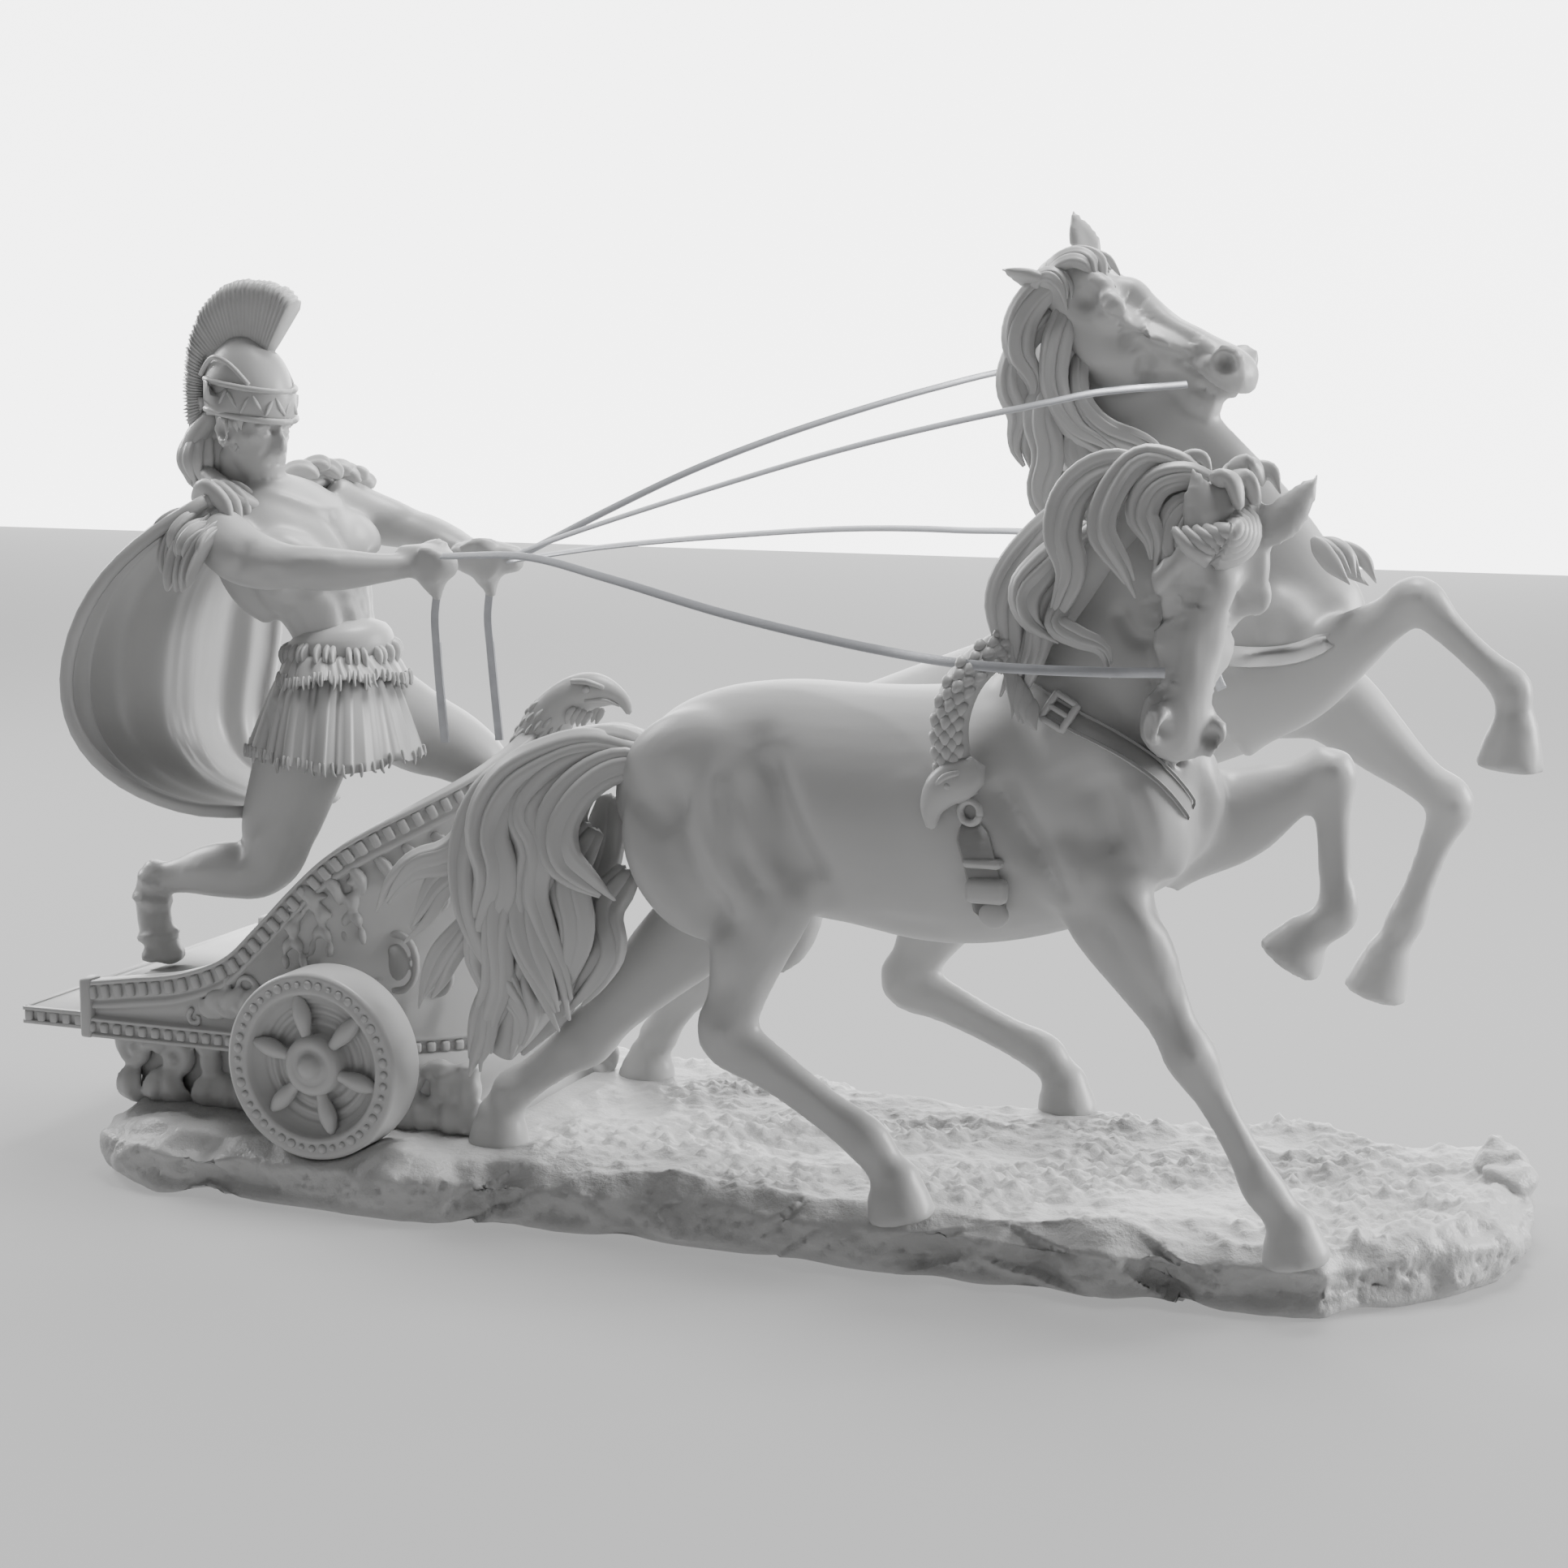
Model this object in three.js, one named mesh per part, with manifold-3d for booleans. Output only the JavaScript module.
// A two-horse racing chariot with its driver: a cast marble group on a rocky ground.
// Millimetres, +Z up. The horses run towards +X. -Y is the near side, with the lowered horse's head.
import * as THREE from 'three';
import { mergeVertices } from 'three/addons/utils/BufferGeometryUtils.js';
import Module from 'manifold-3d';

const wasm = await Module();
wasm.setup();

// Driving dimensions
const GAP = 0.3; // between pieces that touch
const GROUND_TOP = 18; // trodden level of the rocky ground
const BARREL_HALF_WIDTH = 25; // widest half width of a horse
const WHEEL_RADIUS = 27;
const WHEEL_WIDTH = 15;
const WHEEL_FACE_Y = 70; // outer face of each wheel, from the middle of the car
const AXLE = [-108, 41.3]; // x and z of the wheels' centres
const WHEEL_SIDES = 20;
const SPOKES = 6;
const CAR_HALF_WIDTH = 50;
const CAR_UNDERSIDE_Z = 38;
const STEP_UNDERSIDE_Z = 38.4;
const STEP_TOP_Z = 43.3; // flat step behind the car
const FLOOR_TOP_Z = 53.5; // where the driver stands
const STEP_REAR_X = -222.5;
const STEP_HALF_WIDTH = 45.4;
const WALL_REAR_X = -196;
const WALL_THICK = 4;
const STAND_HALF_WIDTH = 40;
const SCROLL_HALF_REACH = 44; // how far the stand's scrolls reach to each side
const AXLE_RADIUS = 7;
const REIN_WIDTH = 2.5;
const REIN_THICK = 0.7;
const CURVE_PARTS = 4; // straight parts in each curve of a plate's outline
const BEYOND = 400; // farther out than any part of the group

// Materials
const MARBLE = { color: 0xf1f1ef, roughness: 0.38, metalness: 0 };
const REIN_METAL = { color: 0x9a9da3, roughness: 0.35, metalness: 0.85 };

// Directions
const ALONG = new THREE.Vector3(1, 0, 0);
const ACROSS = new THREE.Vector3(0, 1, 0);
const UP = new THREE.Vector3(0, 0, 1);

const at = (p) => new THREE.Vector3(p[0], p[1], p[2]);
const mix = (a, b, t) => a + (b - a) * t;
const mixPoint = (a, b, t) => a.map((value, i) => mix(value, b[i], t));
const middle = (ring) => ring.reduce((sum, p) => sum.add(p), new THREE.Vector3())
  .divideScalar(ring.length);

// A closed solid for joining and cutting
function solid(geometry) {
  geometry.deleteAttribute('normal');
  geometry.deleteAttribute('uv');
  const merged = mergeVertices(geometry, 1e-4);
  return new wasm.Manifold(new wasm.Mesh({
    numProp: 3,
    vertProperties: new Float32Array(merged.attributes.position.array),
    triVerts: new Uint32Array(merged.index.array),
  }));
}

const joined = (parts) => parts.slice(1).reduce((sum, part) => sum.add(part), parts[0]);

function meshed(points, faces) {
  const geometry = new THREE.BufferGeometry();
  geometry.setAttribute('position', new THREE.Float32BufferAttribute(
    points.flatMap((p) => [p.x, p.y, p.z]), 3));
  geometry.setIndex(faces);
  return solid(geometry);
}

// A closed solid through rings of equal count, with a point closing each end, facing out
// whichever way round the rings run
function skin(rings, firstTip = middle(rings[0]), lastTip = middle(rings.at(-1))) {
  const count = rings[0].length;
  const points = [...rings.flat(), firstTip, lastTip];
  const first = points.length - 2;
  const last = points.length - 1;
  const end = (rings.length - 1) * count;
  const faces = [];
  for (let i = 0; i < count; i += 1) {
    const j = (i + 1) % count;
    faces.push(first, j, i, last, end + i, end + j);
    for (let k = 0; k < end; k += count) {
      faces.push(k + i, k + j, k + count + j, k + i, k + count + j, k + count + i);
    }
  }
  const body = meshed(points, faces);
  return body.volume() > 0 ? body : meshed(points, faces.reverse());
}

// A tapering round body. A station is [x, y, z, half width, half depth], and the half width
// lies along the side direction, which may turn from the first station to the last.
function loft(stations, { sides = 6, side = ACROSS, lastSide = side, dome = 0.5 } = {}) {
  const centres = stations.map(at);
  const spine = new THREE.CatmullRomCurve3(centres);
  const last = stations.length - 1;
  const rings = stations.map(([, , , halfWidth, halfDepth], i) => {
    const along = spine.getTangent(i / last);
    const wide = side.clone().lerp(lastSide, i / last);
    wide.addScaledVector(along, -wide.dot(along)).normalize();
    const deep = along.clone().cross(wide);
    return Array.from({ length: sides }, (_, k) => {
      const turn = (2 * Math.PI * (k + 0.5)) / sides;
      return centres[i].clone().addScaledVector(wide, halfWidth * Math.cos(turn))
        .addScaledVector(deep, halfDepth * Math.sin(turn));
    });
  });
  const tip = (i, way) => centres[i].clone().addScaledVector(spine.getTangent(i / last),
    way * dome * Math.min(stations[i][3], stations[i][4]));
  return skin(rings, tip(0, -1), tip(last, 1));
}

// A lock of hair: a flat tapering strand that waves as it runs from root to tip
const LOCK_PARTS = 4;
const LOCK_FLATNESS = 0.55;
const lockFullness = (t) => 0.28 + 0.72 * Math.sin(Math.PI * (0.16 + 0.78 * t));

function lock(root, tip, width, bend) {
  const sway = at(tip).sub(at(root)).normalize().cross(ACROSS).normalize();
  const stations = [];
  for (let i = 0; i <= LOCK_PARTS; i += 1) {
    const t = i / LOCK_PARTS;
    const offset = bend * Math.sin(2 * Math.PI * t) * (0.4 + 0.6 * t);
    const centre = at(mixPoint(root, tip, t)).addScaledVector(sway, offset);
    const full = width * lockFullness(t);
    stations.push([...centre.toArray(), full * LOCK_FLATNESS, full]);
  }
  return loft(stations, { sides: 4, dome: 0.8 });
}

// Locks whose roots and tips follow two lines, no two of them quite alike
function lockRow(roots, tips, number, width, bend) {
  const from = new THREE.CatmullRomCurve3(roots.map(at));
  const to = new THREE.CatmullRomCurve3(tips.map(at));
  return Array.from({ length: number }, (_, i) => {
    const t = i / (number - 1);
    const change = Math.sin(i * 2.4);
    return lock(from.getPoint(t).toArray(), to.getPoint(t).toArray(),
      width * (1 + 0.2 * change), bend * (1 - 0.3 * change));
  });
}

function box(low, high) {
  const size = high.map((value, i) => value - low[i]);
  const geometry = new THREE.BoxGeometry(...size);
  geometry.translate(...low.map((value, i) => value + size[i] / 2));
  return solid(geometry);
}

// A round bar across the group, from one y to another
function barAcross(x, z, radius, y0, y1, sides) {
  const geometry = new THREE.CylinderGeometry(radius, radius, Math.abs(y1 - y0), sides);
  geometry.translate(x, (y0 + y1) / 2, z);
  return solid(geometry);
}

// A plate with an outline in x and z, from one y to another
function plateAcross(shape, y0, y1) {
  const geometry = new THREE.ExtrudeGeometry(shape,
    { depth: y1 - y0, bevelEnabled: false, curveSegments: CURVE_PARTS });
  geometry.rotateX(Math.PI / 2);
  geometry.translate(0, y1, 0);
  return solid(geometry);
}

// Everything from the ground's level down, for cutting what stands on it
const BELOW_GROUND = box([-BEYOND, -BEYOND, -BEYOND], [BEYOND, BEYOND, GROUND_TOP + GAP]);

function piece(name, body, material) {
  const { vertProperties, triVerts } = body.getMesh();
  const geometry = new THREE.BufferGeometry();
  geometry.setAttribute('position', new THREE.BufferAttribute(vertProperties, 3));
  geometry.setIndex(new THREE.BufferAttribute(triVerts, 1));
  const mesh = new THREE.Mesh(geometry, new THREE.MeshStandardMaterial(material));
  mesh.name = name;
  return mesh;
}

// Horses

// Rows of a leg: the joint before it, the share of the way to the next, half width, half depth
const FORE_LEG = [
  [0, 0.3, 10, 15], [1, 0, 8.5, 12.5], [1, 0.45, 7, 9], [1, 0.8, 5.4, 6.4], [2, 0, 6.2, 7],
  [2, 0.3, 4, 5], [2, 0.75, 3.8, 4.6], [3, 0, 5, 5.8], [4, 0, 6, 6.4], [5, 0, 8.3, 9.2],
];
const HIND_LEG = [
  [0, 0, 13, 23], [0, 0.5, 13, 22], [1, 0, 10.5, 15.5], [1, 0.4, 7.8, 11.5], [1, 0.8, 5.4, 8],
  [2, 0, 6, 8.6], [2, 0.3, 4.6, 6.6], [2, 0.75, 4.2, 5.8], [3, 0, 5.4, 6.6], [4, 0, 6.2, 6.8],
  [5, 0, 8.5, 9.4],
];

function leg(rows, joints) {
  return loft(rows.map(([joint, share, wide, deep]) => [
    ...mixPoint(joints[joint], joints[Math.min(joint + 1, joints.length - 1)], share), wide, deep,
  ]), { dome: 0.1 });
}

function ear([base, tip, turn]) {
  const side = ACROSS.clone().applyAxisAngle(UP, turn);
  return loft([[...base, 4, 2.6], [...mixPoint(base, tip, 0.4), 4.4, 2.4], [...tip, 0.6, 0.5]],
    { sides: 5, side });
}

function horse(form) {
  return joined([
    loft(form.barrel, { sides: 10 }),
    loft(form.neck, { sides: 8, lastSide: form.facing }),
    loft(form.head, { sides: 8, side: form.facing }),
    loft(form.jaw, { side: form.facing }),
    ...form.ears.map(ear),
    ...form.foreLegs.map((joints) => leg(FORE_LEG, joints)),
    ...form.hindLegs.map((joints) => leg(HIND_LEG, joints)),
    ...form.hair,
    ...form.harness,
  ]).subtract(BELOW_GROUND);
}

// The horse with its head down, its right fore and both hind hooves on the ground
const nearHorse = {
  facing: new THREE.Vector3(0.77, 0.64, 0),
  barrel: [
    [-19, -48, 122, 8, 10], [-8, -48, 122, 17, 20], [8, -48, 123.5, 22, 27.5], [28, -49, 124, 24, 31.5],
    [50, -50, 123, BARREL_HALF_WIDTH, 32], [74, -51, 122, BARREL_HALF_WIDTH, 34],
    [96, -52, 125, 24, 33], [116, -53, 129, 22, 29], [133, -54, 130, 17, 22], [144, -54, 130, 9, 12],
  ],
  neck: [
    [104, -53, 138, 16, 27], [113, -54, 157, 13, 24], [119, -55, 174, 10.5, 20],
    [126, -56, 190, 8.5, 16], [136, -57, 201, 7.5, 11], [144, -58, 203, 6, 7],
  ],
  head: [
    [147, -58.4, 208, 7.5, 7.5], [143.5, -59.6, 192, 11.6, 11.6], [141.6, -60.6, 183, 12, 12],
    [141, -62.2, 175, 10.8, 10.6], [140, -66, 162, 8.4, 7.4], [138.7, -67.9, 152, 8.2, 7.2],
    [136.9, -68.3, 144.4, 5.4, 4.8],
  ],
  jaw: [[140, -53.6, 196.5, 8, 8], [138.6, -56.4, 184, 9.4, 9], [136.8, -59.8, 168.5, 6, 5]],
  ears: [[[146, -68, 195], [141, -68, 214], 2.1], [[156, -60, 197], [168, -54, 211.5], 1.8]],
  foreLegs: [
    [[116, -62, 124], [121, -66, 104], [143, -66, 67.5], [161, -61.5, 34.5], [168, -60, 25],
      [170, -60, 15]],
    [[128, -44, 120], [147, -41, 125], [170, -38, 137], [173, -38, 101], [165, -38, 94],
      [160.5, -38, 87]],
  ],
  hindLegs: [
    [[9, -58, 118], [28, -64, 103], [17.5, -66, 61.5], [56, -63, 36], [63.5, -62, 26], [66, -62, 15]],
    [[3, -42, 114], [2, -38, 90], [-37, -40, 49], [-58, -43, 33], [-62, -43, 26], [-63, -43, 15]],
  ],
  hair: [
    loft([[-8, -49, 132, 5, 5], [-20, -50, 135, 7, 6], [-32, -52, 132, 9, 9], [-41, -54, 122, 11, 14],
      [-43, -56, 106, 12, 17], [-42, -56, 88, 11, 17], [-44, -56, 70, 9, 13], [-51, -55, 56, 5, 7],
      [-57, -54, 46, 2, 3]]),
    ...lockRow([[-50, -58, 124], [-56, -60, 108], [-54, -58, 88]],
      [[-90, -58, 85], [-79, -58, 58], [-62, -58, 40]], 3, 6, 5),
    ...lockRow([[-20, -58, 134], [-34, -64, 126], [-48, -64, 116]],
      [[-21, -62, 95], [-34, -62, 57], [-50, -60, 50]], 3, 6.5, -4),
    loft([[144, -56, 210, 5, 6], [131, -58, 212, 7, 8], [118, -60, 201, 8, 10], [108, -60, 184, 8, 10],
      [100, -60, 164, 6, 8], [94, -60, 150, 2, 3]]),
    ...lockRow([[140, -60, 215], [124, -64, 209], [108, -64, 194]],
      [[128, -72, 182], [109, -72, 168], [93, -68, 150]], 4, 6, 4),
    loft([[141, -60, 206, 3, 4], [150, -61, 206, 6, 6], [156, -62, 198, 5.4, 6], [152, -66, 191, 2, 3]]),
  ],
  harness: [
    loft([[96, -54, 165, 4, 9], [88, -66, 161, 4.6, 4], [83.5, -74.5, 148, 4.6, 3.6],
      [84, -77, 132, 4.6, 3.6], [84, -77, 122, 4.6, 3.6]], { side: ALONG }),
    loft([[91, -77, 132, 2.6, 3], [86, -78, 128, 3.6, 5.6], [79, -78.5, 124, 2.6, 4],
      [78.5, -78.5, 118, 0.8, 1.4]]),
    loft([[88, -76, 124, 2.6, 2.6], [92, -76.5, 112, 2.6, 2.6], [94, -76, 103, 2, 4]],
      { side: ALONG }),
    loft([[98, -72, 157, 2, 2.6], [112, -75, 150, 2, 2.6], [132, -71, 140, 2, 2.6],
      [145, -60, 127, 2, 2.6]], { sides: 4 }),
  ],
};

// The rearing horse, with only its hind hooves on the ground
const farHorse = {
  facing: ACROSS,
  barrel: [
    [-24, 46, 96, 11, 14], [-12, 46, 101, 19, 25], [8, 46, 107, 23, 30], [30, 46, 116, 24, 30],
    [55, 47, 127, BARREL_HALF_WIDTH, 29], [82, 48, 138, BARREL_HALF_WIDTH, 28],
    [106, 48, 148, 23, 28], [128, 48, 157, 21, 27], [146, 48, 166, 16, 21], [157, 48, 173, 8, 10],
  ],
  neck: [
    [134, 48, 160, 16, 30], [119, 48, 186, 13, 26], [108, 48, 203, 11, 21.5], [96, 48, 221, 9, 17],
    [85, 48, 238, 8, 13.5], [78, 48, 250, 6, 8],
  ],
  head: [
    [69, 48.4, 260, 7, 7], [82, 48, 252, 11, 12.6], [94, 47.8, 245.5, 11.4, 12.4],
    [105.6, 47.5, 241.5, 8.8, 9], [114, 47.4, 238, 7.8, 7.4], [120.2, 47.2, 235, 8, 7.4],
    [126.6, 47, 230.6, 5.4, 5],
  ],
  jaw: [[77, 48, 247, 8, 9], [88, 47.8, 239.5, 9, 9.5], [103, 47.5, 233, 5.6, 5],
    [118, 47.2, 224.5, 4.6, 3.8]],
  ears: [[[73, 40, 257], [57, 37, 262.5], 1.2], [[80, 54, 264], [73, 55, 279.5], 0.6]],
  foreLegs: [
    [[126, 34, 143], [146, 35, 151], [178, 33, 174], [204, 33, 151], [205, 33, 141], [204, 33, 129]],
    [[130, 60, 146], [150, 60, 142], [185, 58, 115], [174, 58, 82], [169, 58, 71], [165, 58, 58]],
  ],
  hindLegs: [
    [[-4, 38, 100], [-4, 38, 84], [-39, 38, 48], [-50, 39, 31], [-53, 40, 25], [-55, 40, 15]],
    [[18, 55, 98], [40, 55, 82], [25, 54, 51.5], [70, 52, 33], [76, 51, 26], [78, 50, 15]],
  ],
  hair: [
    loft([[-18, 47, 112, 5, 5], [-30, 47, 110, 7, 7], [-40, 47, 98, 9, 10], [-44, 46, 80, 9, 10],
      [-42, 46, 60, 6, 7], [-38, 46, 46, 2, 2]]),
    loft([[74, 46, 252, 6, 7], [73, 45, 235, 8, 9], [79, 44, 215, 9, 10], [88, 43, 196, 9, 9],
      [95, 43, 180, 5, 6]]),
    ...lockRow([[73, 40, 256], [76, 36, 238], [88, 34, 216]],
      [[66, 36, 224], [75, 32, 198], [88, 32, 178]], 3, 7, 4),
    ...lockRow([[79, 54, 254], [82, 57, 232], [94, 58, 208]],
      [[68, 54, 226], [78, 56, 198], [92, 56, 176]], 3, 6, 4),
    loft([[72, 46, 263, 4, 4], [82, 44, 266, 5, 4.5], [90, 42, 259, 3.4, 3.4], [88, 41, 251, 1.5, 2]]),
  ],
  harness: [
    loft([[84, 36, 168, 4, 6], [86, 25, 158, 4.6, 3.4], [90, 22, 144, 4.6, 3.4], [94, 22, 128, 4.6, 3]],
      { side: ALONG }),
    loft([[96, 24, 158, 2, 2.6], [114, 25, 156, 2, 2.6], [136, 29, 152, 2, 2.6],
      [154, 40, 156, 2, 2.6]], { sides: 4 }),
  ],
};

// Chariot

// Half of the car's plan, from the rear corner to the prow, with the height of the rail there
const RAIL = [
  [WALL_REAR_X, -CAR_HALF_WIDTH, 54.6], [-180, -CAR_HALF_WIDTH, 57], [-162, -CAR_HALF_WIDTH, 60],
  [-147, -CAR_HALF_WIDTH, 66], [-136, -CAR_HALF_WIDTH, 76], [-125, -49, 87.5], [-115, -47, 97],
  [-104, -43, 104.5], [-91, -35, 112], [-80, -25, 119], [-72, -14, 126], [-69, 0, 131],
];
const rail = [...RAIL, ...RAIL.slice(0, -1).reverse().map(([x, y, z]) => [x, -y, z])];

// Section of the wall: offset out of the car, and height above the underside or below the rail's top
const WALL_SECTION = [
  [-WALL_THICK, 'underside', 0.5], [1.8, 'underside', 0], [1.8, 'underside', STEP_TOP_Z - CAR_UNDERSIDE_Z],
  [0, 'underside', STEP_TOP_Z - CAR_UNDERSIDE_Z], [0, 'rail', 6], [1.6, 'rail', 5.5], [1.6, 'rail', 0],
  [-WALL_THICK, 'rail', 0],
];

// A point beside one of the rail's points, a distance out of the car
function besideRail(i, offset, z) {
  const before = at(rail[Math.max(i - 1, 0)]);
  const out = at(rail[Math.min(i + 1, rail.length - 1)]).sub(before).setZ(0).normalize().cross(UP);
  return at([rail[i][0], rail[i][1], z]).addScaledVector(out, offset);
}

// The wall stands on the car's plan and ends in the moulded rail
function wall() {
  return skin(rail.map((point, i) => WALL_SECTION.map(([offset, from, distance]) => besideRail(i, offset,
    from === 'rail' ? point[2] - distance : CAR_UNDERSIDE_Z + distance))));
}

// The carved stand between the ground and the car: its side outline swells in and out
function standShape() {
  const shape = new THREE.Shape();
  const low = GROUND_TOP - 2;
  shape.moveTo(-195, CAR_UNDERSIDE_Z + 1);
  shape.quadraticCurveTo(-196, 33, -188, 29);
  shape.quadraticCurveTo(-180, 23, -184, 20);
  shape.lineTo(-188, low);
  shape.lineTo(-72, low);
  shape.quadraticCurveTo(-86, 26, -76, 31);
  shape.quadraticCurveTo(-72, 35, -78, CAR_UNDERSIDE_Z + 1);
  shape.closePath();
  return shape;
}

// The floor ends inside the wall's thickness
function carFloor() {
  const shape = new THREE.Shape(rail.map((_, i) => {
    const { x, y } = besideRail(i, -WALL_THICK / 2, 0);
    return new THREE.Vector2(Math.max(x, WALL_REAR_X + WALL_THICK / 4), y);
  }));
  const geometry = new THREE.ExtrudeGeometry(shape,
    { depth: FLOOR_TOP_Z - CAR_UNDERSIDE_Z, bevelEnabled: false });
  geometry.translate(0, 0, CAR_UNDERSIDE_Z);
  return solid(geometry);
}

// The eagle's neck and head that end the rails at the prow
const EAGLE = [
  [-72, 0, 122, 7, 8], [-67, 0, 132, 6.4, 7], [-61, 0, 139.5, 5.8, 6.4], [-54, 0, 142.8, 5, 5.6],
  [-47.5, 0, 142.6, 4, 4.8], [-42.5, 0, 140, 2.2, 3], [-40.5, 0, 136.5, 0.8, 1.2],
];
// Scrolls carved on each side of the stand: x, z and radius
const VOLUTES = [[-184, 33, 5.5], [-167, 31, 6.5], [-150, 30, 6], [-80, 31, 6]];
const VOLUTE_SIDES = 8;

function chariot() {
  const axleReach = WHEEL_FACE_Y - WHEEL_WIDTH - GAP;
  return joined([
    carFloor(),
    box([STEP_REAR_X, -STEP_HALF_WIDTH, STEP_UNDERSIDE_Z],
      [WALL_REAR_X + 2 * WALL_THICK, STEP_HALF_WIDTH, STEP_TOP_Z]),
    plateAcross(standShape(), -STAND_HALF_WIDTH, STAND_HALF_WIDTH),
    ...VOLUTES.map(([x, z, r]) => barAcross(x, z, r, -SCROLL_HALF_REACH, SCROLL_HALF_REACH, VOLUTE_SIDES)),
    loft(EAGLE),
    wall(),
    barAcross(AXLE[0], AXLE[1], AXLE_RADIUS, -axleReach, axleReach, WHEEL_SIDES),
  ]).subtract(BELOW_GROUND);
}

// A wheel's stepped disc, from the hub's cap out to the rim and back along the inner face:
// radius and height from the middle of the wheel's width
const WHEEL_PROFILE = [
  [0, -7.5], [WHEEL_RADIUS, -7.5], [WHEEL_RADIUS, 7], [WHEEL_RADIUS - 1, 7.5], [20.5, 7.5], [20, 3.5],
  [14, 1.5], [8.5, 1.5], [8.5, 6.5], [5, 9], [0, 10.4],
];

function wheel(facing) {
  const disc = new THREE.LatheGeometry(WHEEL_PROFILE.map(([r, h]) => new THREE.Vector2(r, h)), WHEEL_SIDES);
  disc.rotateZ(facing > 0 ? 0 : Math.PI);
  const centreY = facing * (WHEEL_FACE_Y - WHEEL_WIDTH / 2);
  disc.translate(AXLE[0], centreY, AXLE[1]);
  const spokes = Array.from({ length: SPOKES }, (_, i) => {
    const turn = (2 * Math.PI * (i + 0.75)) / SPOKES;
    const station = (r, wide) => [AXLE[0] + r * Math.cos(turn), centreY + facing * 4,
      AXLE[1] + r * Math.sin(turn), 2, wide];
    return loft([station(7, 1.4), station(16, 2.8), station(22, 1.2)], { sides: 4 });
  });
  return joined([solid(disc), ...spokes]);
}

// Rocky ground

const NEAR_EDGE = [[-184, -59], [-153, -76], [-128, -71], [-77, -72], [-40, -65], [8, -63], [86, -64],
  [156, -60], [177, -57]];
const FAR_EDGE = [[-186, 60], [-150, 75], [-100, 76], [-40, 72], [-5, 62], [18, 54], [48, 53], [84, 60],
  [110, 52], [140, 68], [170, 58], [205, 68]];
const edgeCurve = (points) => new THREE.CatmullRomCurve3(points.map(([x, y]) => at([x, y, 0])));
const nearEdge = edgeCurve(NEAR_EDGE);
const farEdge = edgeCurve(FAR_EDGE);
const leftEdge = edgeCurve([NEAR_EDGE[0], [-194, -25], [-194, 25], FAR_EDGE[0]]);
const rightEdge = edgeCurve([NEAR_EDGE.at(-1), [197, -35], [213, -10], [215, 30], FAR_EDGE.at(-1)]);
const HOOF_PRINTS = [[170, -60], [66, -62], [-63, -43], [-55, 40], [78, 50]];
const HOOF_PRINT_REACH = 28;

// Plan position at a share along and a share across the ground
function groundPlan(s, t) {
  const along = nearEdge.getPointAt(s).lerp(farEdge.getPointAt(s), t);
  const across = leftEdge.getPointAt(t).lerp(rightEdge.getPointAt(t), s);
  const corners = mixPoint(mixPoint(NEAR_EDGE[0], NEAR_EDGE.at(-1), s),
    mixPoint(FAR_EDGE[0], FAR_EDGE.at(-1), s), t);
  return [along.x + across.x - corners[0], along.y + across.y - corners[1]];
}

// Height of the ground: rough where it is open, flat under hooves and car
const HIGHEST_LUMP = 3;

function groundHeight(x, y) {
  const rough = 1.6 * Math.sin(x * 0.11 + y * 0.07) * Math.cos(y * 0.13 - x * 0.05)
    + Math.sin(x * 0.31 - y * 0.17);
  const fromHooves = HOOF_PRINTS.map(([px, py]) => Math.hypot(x - px, y - py) / HOOF_PRINT_REACH);
  const fromCar = Math.max((x + 60) / 25, (Math.abs(y) - 46) / 12, (-190 - x) / 10, 0);
  const open = Math.min(1, ...fromHooves, fromCar);
  return GROUND_TOP + Math.min(rough * open ** 2, open > 0.9 ? HIGHEST_LUMP : 0);
}

// Parts of the ground along and across, and its side's rings from the underside up: height and swell
const GROUND_ROWS = 24;
const GROUND_COLUMNS = 7;
const GROUND_LEVELS = [[0, -0.4], [6, 1.2], [13, 0.4]];

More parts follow.
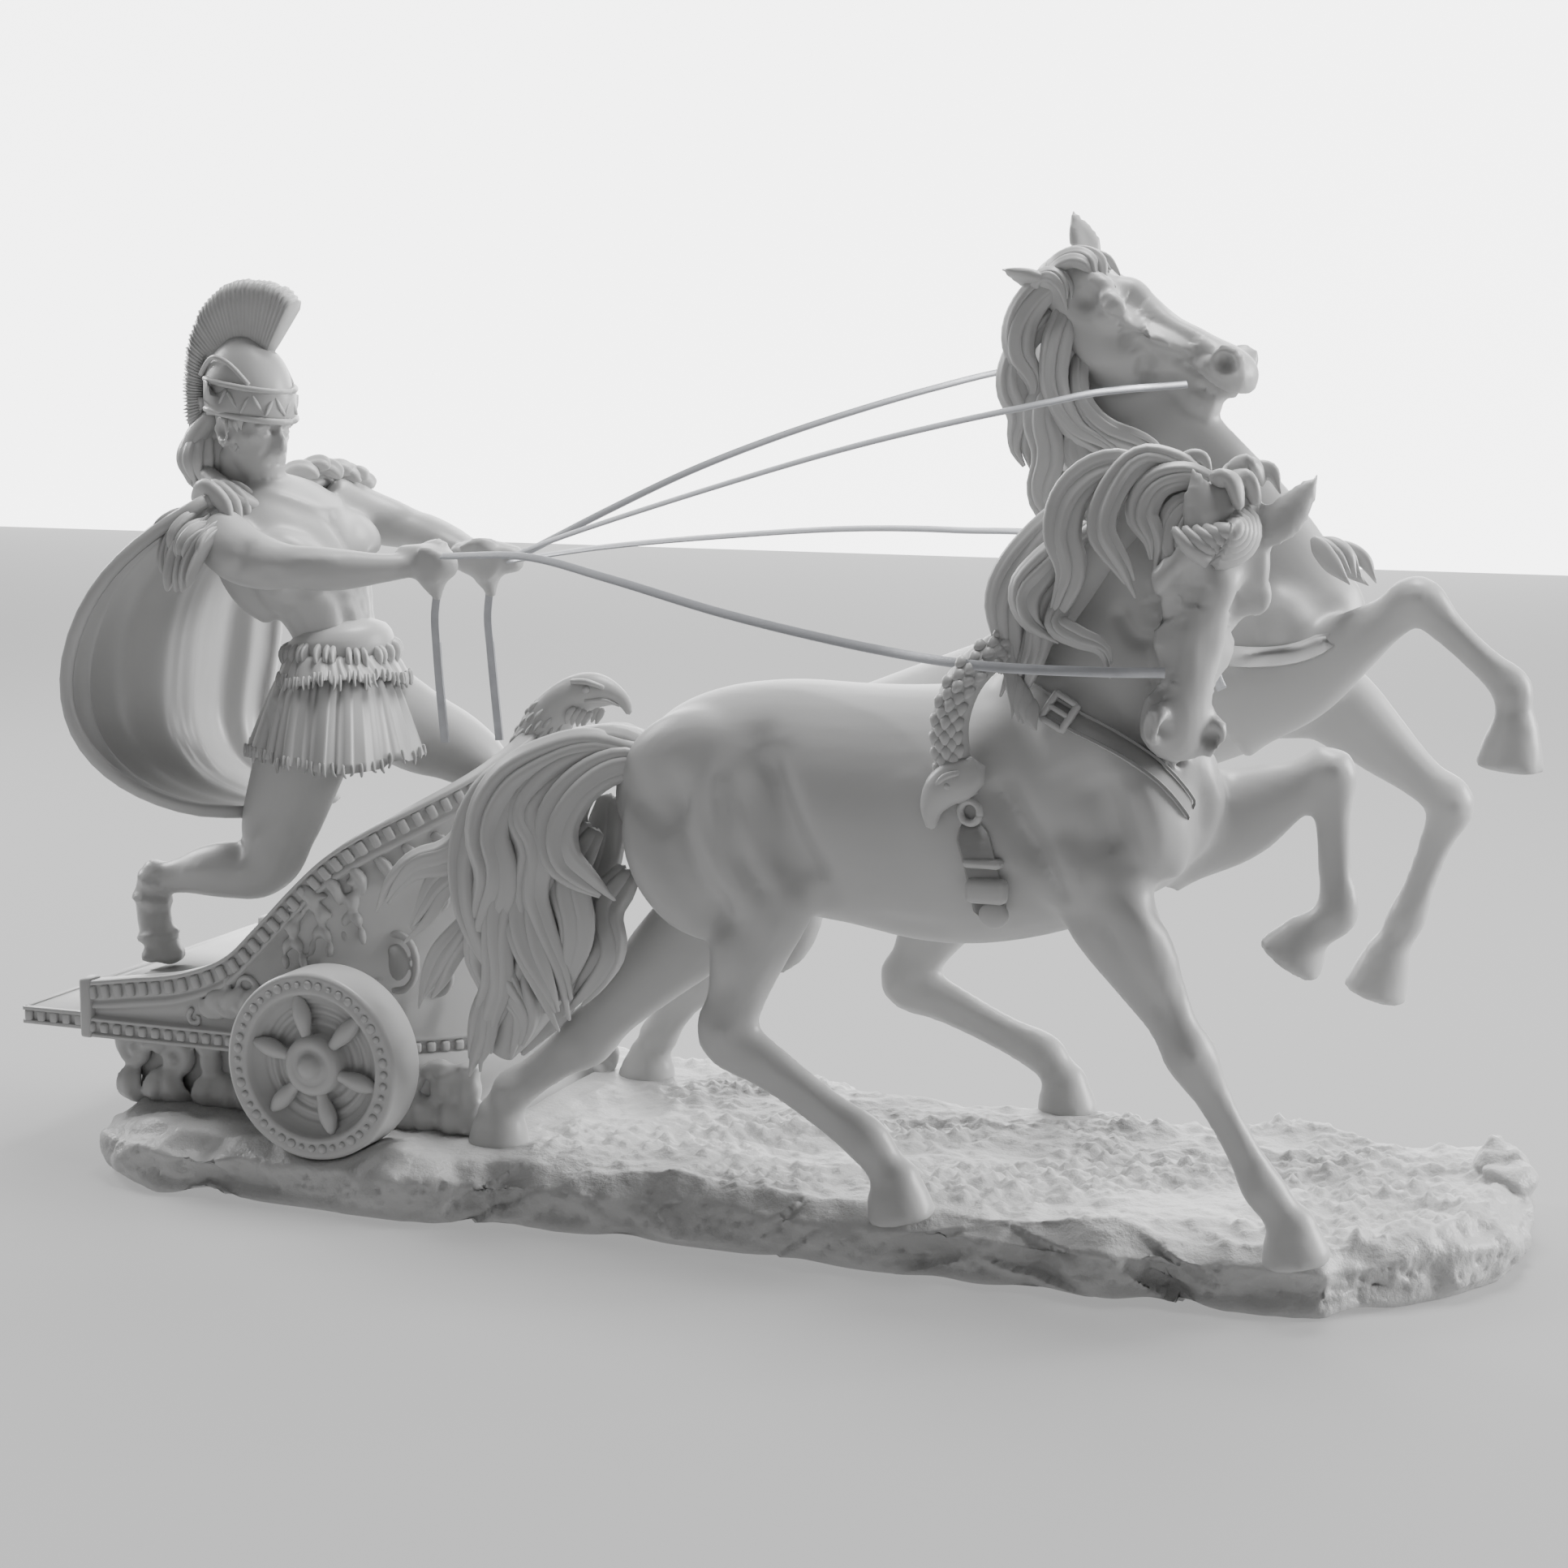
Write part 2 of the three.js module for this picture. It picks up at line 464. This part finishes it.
function ground() {
  const rim = [];
  for (let i = 0; i < GROUND_ROWS; i += 1) rim.push([i, 0]);
  for (let j = 0; j < GROUND_COLUMNS; j += 1) rim.push([GROUND_ROWS, j]);
  for (let i = GROUND_ROWS; i > 0; i -= 1) rim.push([i, GROUND_COLUMNS]);
  for (let j = GROUND_COLUMNS; j > 0; j -= 1) rim.push([0, j]);
  const points = [];
  const inset = (i, n) => mix(0.5 / n, 1 - 0.5 / n, i / n);
  for (let i = 0; i <= GROUND_ROWS; i += 1) {
    for (let j = 0; j <= GROUND_COLUMNS; j += 1) {
      const [x, y] = groundPlan(inset(i, GROUND_ROWS), inset(j, GROUND_COLUMNS));
      points.push(at([x, y, groundHeight(x, y)]));
    }
  }
  const top = (i, j) => i * (GROUND_COLUMNS + 1) + j;
  const side = (level, k) => (GROUND_ROWS + 1) * (GROUND_COLUMNS + 1) + level * rim.length + (k % rim.length);
  GROUND_LEVELS.forEach(([z, swell]) => rim.forEach(([i, j], k) => {
    const [x, y] = groundPlan(i / GROUND_ROWS, j / GROUND_COLUMNS);
    const lump = swell + (z > 0 ? 0.9 * Math.sin(k * 1.3) : 0);
    points.push(at([x + Math.sign(x) * lump * (Math.abs(x) > 170 ? 1 : 0), y + Math.sign(y) * lump, z]));
  }));
  const faces = [];
  for (let i = 0; i < GROUND_ROWS; i += 1) {
    for (let j = 0; j < GROUND_COLUMNS; j += 1) {
      faces.push(top(i, j), top(i + 1, j), top(i + 1, j + 1), top(i, j), top(i + 1, j + 1), top(i, j + 1));
    }
  }
  rim.forEach(([i, j], k) => {
    const [nextI, nextJ] = rim[(k + 1) % rim.length];
    for (let level = 0; level < GROUND_LEVELS.length - 1; level += 1) {
      faces.push(side(level, k), side(level, k + 1), side(level + 1, k + 1));
      faces.push(side(level, k), side(level + 1, k + 1), side(level + 1, k));
    }
    const upper = GROUND_LEVELS.length - 1;
    faces.push(side(upper, k), side(upper, k + 1), top(nextI, nextJ));
    faces.push(side(upper, k), top(nextI, nextJ), top(i, j));
    faces.push(points.length, side(0, k + 1), side(0, k));
  });
  points.push(at([0, 0, 0]));
  const tracks = [-1, 1].map((s) => barAcross(AXLE[0], AXLE[1], WHEEL_RADIUS + 2 * GAP,
    s * (WHEEL_FACE_Y - WHEEL_WIDTH - GAP), s * BEYOND, WHEEL_SIDES));
  return meshed(points, faces).subtract(joined(tracks));
}

// Charioteer

// The cloak billows behind: its two rims, and how far it swells out between them
const CLOAK_NEAR_RIM = [[-164, -28, 196], [-180, -36, 185], [-195, -42, 168], [-205, -42, 144],
  [-201, -42, 126], [-189, -40, 113], [-171, -36, 105], [-153, -28, 102]];
const CLOAK_FAR_RIM = [[-152, 26, 200], [-166, 34, 188], [-178, 36, 168], [-182, 36, 145],
  [-186, 36, 122], [-182, 34, 110], [-168, 30, 104], [-152, 22, 102]];
const CLOAK_SWELL = [0, 6, 5, -3, 5, 7, 0];
const CLOAK_HALF_THICKNESS = 1.6;
const CLOAK_ROWS = 9;
const CLOAK_HEART = at([-150, 0, 150]); // what it swells away from

function cloak() {
  const nearRim = new THREE.CatmullRomCurve3(CLOAK_NEAR_RIM.map(at));
  const farRim = new THREE.CatmullRomCurve3(CLOAK_FAR_RIM.map(at));
  return skin(Array.from({ length: CLOAK_ROWS + 1 }, (_, i) => {
    const t = i / CLOAK_ROWS;
    const line = (offset) => CLOAK_SWELL.map((swell, k) => {
      const point = nearRim.getPoint(t).lerp(farRim.getPoint(t), k / (CLOAK_SWELL.length - 1));
      const away = point.clone().sub(CLOAK_HEART).setY(0).normalize();
      return point.addScaledVector(away, swell * Math.sin(Math.PI * t) ** 0.5 + offset);
    });
    return [...line(CLOAK_HALF_THICKNESS), ...line(-CLOAK_HALF_THICKNESS).reverse()];
  }));
}

// The skirt hangs in pleats from the waist: x, z, half depth and half width of each row
const SKIRT_ROWS = [[-134, 119, 23.5, 24], [-134.5, 128, 21.5, 22], [-135, 140, 18, 19],
  [-136, 152, 14.5, 15.5]];
const PLEATS = 10;
const PLEAT_DEPTH = 0.05; // as a share of the skirt's radius

function skirt() {
  return skin(SKIRT_ROWS.map(([x, z, deep, wide], row) => Array.from({ length: 2 * PLEATS }, (_, k) => {
    const turn = (Math.PI * k) / PLEATS;
    const fold = row > 1 ? 1 : 1 + PLEAT_DEPTH * (k % 2 ? 1 : -1);
    return at([x + deep * fold * Math.cos(turn), wide * fold * Math.sin(turn), z]);
  })));
}

// The helmet's brush: angle about the head's centre, inner and outer radius
const HEAD_CENTRE = [-165, -2, 226];
const CREST_ROWS = [[58, 15, 33.5], [75, 14, 34.5], [95, 13, 34], [115, 13, 30.5], [135, 13, 25.5],
  [160, 13, 21.5], [185, 13, 21], [212, 14, 22.5]];

function crest() {
  const [headX, headY, headZ] = HEAD_CENTRE;
  return skin(CREST_ROWS.map(([degrees, inner, outer]) => {
    const turn = THREE.MathUtils.degToRad(degrees);
    const place = (r, y) => at([headX + r * Math.cos(turn), headY + y, headZ + r * Math.sin(turn)]);
    return [place(inner, -2.5), place(inner, 2.5), place(outer - 2, 4), place(outer, 0),
      place(outer - 2, -4)];
  }));
}

const CHEST_SIDE = new THREE.Vector3(0.28, 0.94, 0.18);
const HIP_SIDE = new THREE.Vector3(0.15, 0.98, 0);
const HEAD_SIDE = new THREE.Vector3(0.3, 0.95, 0);

function headAndHelmet() {
  return [
    loft([[-165, -1, 194, 8, 8.5], [-168, -1, 204, 7, 7.5], [-168, -2, 210, 6, 7]], { side: HEAD_SIDE }),
    loft([[-158, -4, 200, 4, 4.5], [-160, -3, 207, 6.8, 8], [-163, -2, 217, 8.4, 10.5],
      [-165, -2, 228, 9, 11.5], [-166, -2, 237, 7, 8]], { sides: 8, side: HEAD_SIDE }),
    loft([[-163, -2, 223, 11.2, 14.5], [-165, -2, 230, 11.6, 14.2], [-166, -2, 238, 9, 10.5],
      [-166, -2, 243, 4, 5]], { sides: 8, side: HEAD_SIDE, dome: 0.2 }),
    loft([[-154, -4, 227, 8, 3], [-147, -5.5, 227.5, 6, 2.2], [-142.5, -6.5, 228, 2, 1]]),
    loft([[-176, 0, 220, 9, 5], [-182, -1, 211, 9, 6], [-183, -1, 203, 7, 5], [-178, 0, 196, 4, 3]]),
    crest(),
  ];
}

// Flaps that hang over a shoulder: x, y, z and which side it is
function shoulderFlap([x, y, z, s]) {
  return loft([[x, y - s * 4, z + 6, 8, 8], [x - 2, y + s * 2, z + 1, 7, 10],
    [x - 4, y + s * 5, z - 9, 4, 11], [x - 5, y + s * 5, z - 17, 2.4, 10]], { dome: 0.2 });
}

// A fist: knuckles, and the heel of the hand below
function fist([x, y, z]) {
  return joined([
    loft([[x - 6, y, z + 1, 4, 4], [x, y, z, 6, 6.4], [x + 6, y + 1, z - 1, 5, 5.4]], { dome: 0.6 }),
    loft([[x + 2, y, z - 3, 4, 5], [x + 1, y, z - 6.5, 2.6, 3.4]], { dome: 0.8 }),
  ]);
}

function charioteer() {
  return joined([
    loft([[-134, 0, 136, 15, 13], [-136, 0, 152, 14, 12.5], [-141, 0, 165, 17, 14], [-149, 0, 178, 22, 16],
      [-158, -1, 190, 22, 13], [-164, -1, 196, 13, 9]], { sides: 8, side: HIP_SIDE, lastSide: CHEST_SIDE }),
    ...headAndHelmet(), skirt(), cloak(),
    ...[[-163, -27, 185, -1], [-149, 25, 191, 1]].map(shoulderFlap),
    loft([[-160, -27, 184, 8, 8.5], [-148, -30, 179, 8, 8.5], [-136, -30, 178, 6.8, 7.2],
      [-124, -29, 177, 6.6, 6.6], [-110, -24, 177.5, 5, 5], [-101, -18, 178.5, 3.6, 4]]),
    loft([[-150, 24, 193, 8, 8.5], [-140, 30, 188, 7.4, 8], [-130, 30, 185.5, 6.2, 6.8],
      [-114, 24, 182.5, 5.4, 5.6], [-94, 11, 179.5, 3.8, 4]]),
    ...[[-96, -16, 178.5], [-88, 9, 178]].map(fist),
    loft([[-138, -12, 134, 13, 15], [-146, -14, 112, 12, 14], [-150, -15, 98, 10.5, 12.5],
      [-151, -16, 88, 8.5, 10], [-158, -17, 84, 7.5, 8.6], [-168, -18, 84, 7.2, 8], [-180, -18, 82, 5.6, 6],
      [-190, -18, 80, 4.4, 4.8]]),
    loft([[-192, -18, 83, 4.2, 5.4], [-192, -19, 74, 4.6, 6], [-191, -20, 64, 5, 6],
      [-187, -20, 58, 5.4, 4.4], [-182, -20, 55.5, 5, 2]], { dome: 0.3 }),
    loft([[-128, 10, 130, 13, 14], [-114, 16, 122, 11.5, 12.5], [-103, 22, 118, 9.5, 10],
      [-99, 22, 110, 8, 8.4], [-101, 22, 94, 7.4, 8], [-101, 22, 76, 5, 5.4], [-101, 22, 60, 4.4, 5]]),
    loft([[-105, 22, 58.5, 4.6, 5], [-97, 22, 57, 5, 4], [-88, 22, 55.6, 4.6, 2]], { dome: 0.4 }),
  ]).subtract(box([-BEYOND, -BEYOND, -BEYOND], [BEYOND, BEYOND, FLOOR_TOP_Z + GAP]));
}

// Reins

// A flat strip that stands on edge and follows a few points
function strip(points, steps) {
  const route = new THREE.CatmullRomCurve3(points.map(at));
  return skin(Array.from({ length: steps + 1 }, (_, i) => {
    const along = route.getTangentAt(i / steps);
    const flat = Math.abs(along.z) > 0.9 ? ACROSS.clone() : along.clone().cross(UP).normalize();
    const edgewise = along.clone().cross(flat).normalize();
    const centre = route.getPointAt(i / steps);
    const place = (a, b) => centre.clone().addScaledVector(flat, (a * REIN_THICK) / 2)
      .addScaledVector(edgewise, (b * REIN_WIDTH) / 2);
    return [place(-1, -1), place(1, -1), place(1, 1), place(-1, 1)];
  }));
}

const REINS = {
  rein_far_horse_far_side: [[-77.5, 14, 182], [-56, 21, 193.6], [-34, 29, 204.7], [-12, 38, 214],
    [10, 46, 221.8], [32, 54, 228.6], [53, 62, 234], [84, 65, 238], [110, 56, 235]],
  rein_far_horse_near_side: [[-76.5, 7, 182], [-64, 11, 186.8], [-16, 17, 202.4], [19, 21, 212.7],
    [49, 24, 220.1], [77, 25, 226], [90, 28, 228.7], [109, 37.5, 230.5]],
  rein_near_horse_far_side: [[-76.5, 3, 179.5], [-46, -4, 184.4], [-4, -13, 189.3], [36, -22, 192.9],
    [68, -29, 193.8], [100, -33, 192.5], [124, -38, 180], [139, -47, 167.5], [147, -59, 159]],
  rein_near_horse_near_side: [[-88, -24.5, 182], [-59, -29, 183], [-30, -37, 178.6], [11, -49, 171.2],
    [59, -64, 165.4], [92, -78, 164.2], [122, -80, 164.3], [136.5, -74, 164.1]],
  rein_end_near_hand: [[-94.5, -16, 169.5], [-95.2, -16, 163.6], [-94.8, -16, 154], [-94.2, -16, 144.7],
    [-92.7, -16, 127]],
  rein_end_far_hand: [[-90.5, 9, 168.5], [-91.2, 9, 161.4], [-90.5, 9, 151.8], [-89.2, 9, 137.3],
    [-88, 9, 124.6]],
};
const LONG_REIN_STEPS = 9;
const REIN_END_STEPS = 5;

const group = new THREE.Group();
group.add(
  piece('base', ground(), MARBLE),
  piece('chariot', chariot(), MARBLE),
  piece('wheel_near', wheel(-1), MARBLE),
  piece('wheel_far', wheel(1), MARBLE),
  piece('charioteer', charioteer(), MARBLE),
  piece('horse_near', horse(nearHorse), MARBLE),
  piece('horse_far', horse(farHorse), MARBLE),
);
Object.entries(REINS).forEach(([name, points]) => {
  const steps = name.startsWith('rein_end') ? REIN_END_STEPS : LONG_REIN_STEPS;
  group.add(piece(name, strip(points, steps), REIN_METAL));
});

export default group;
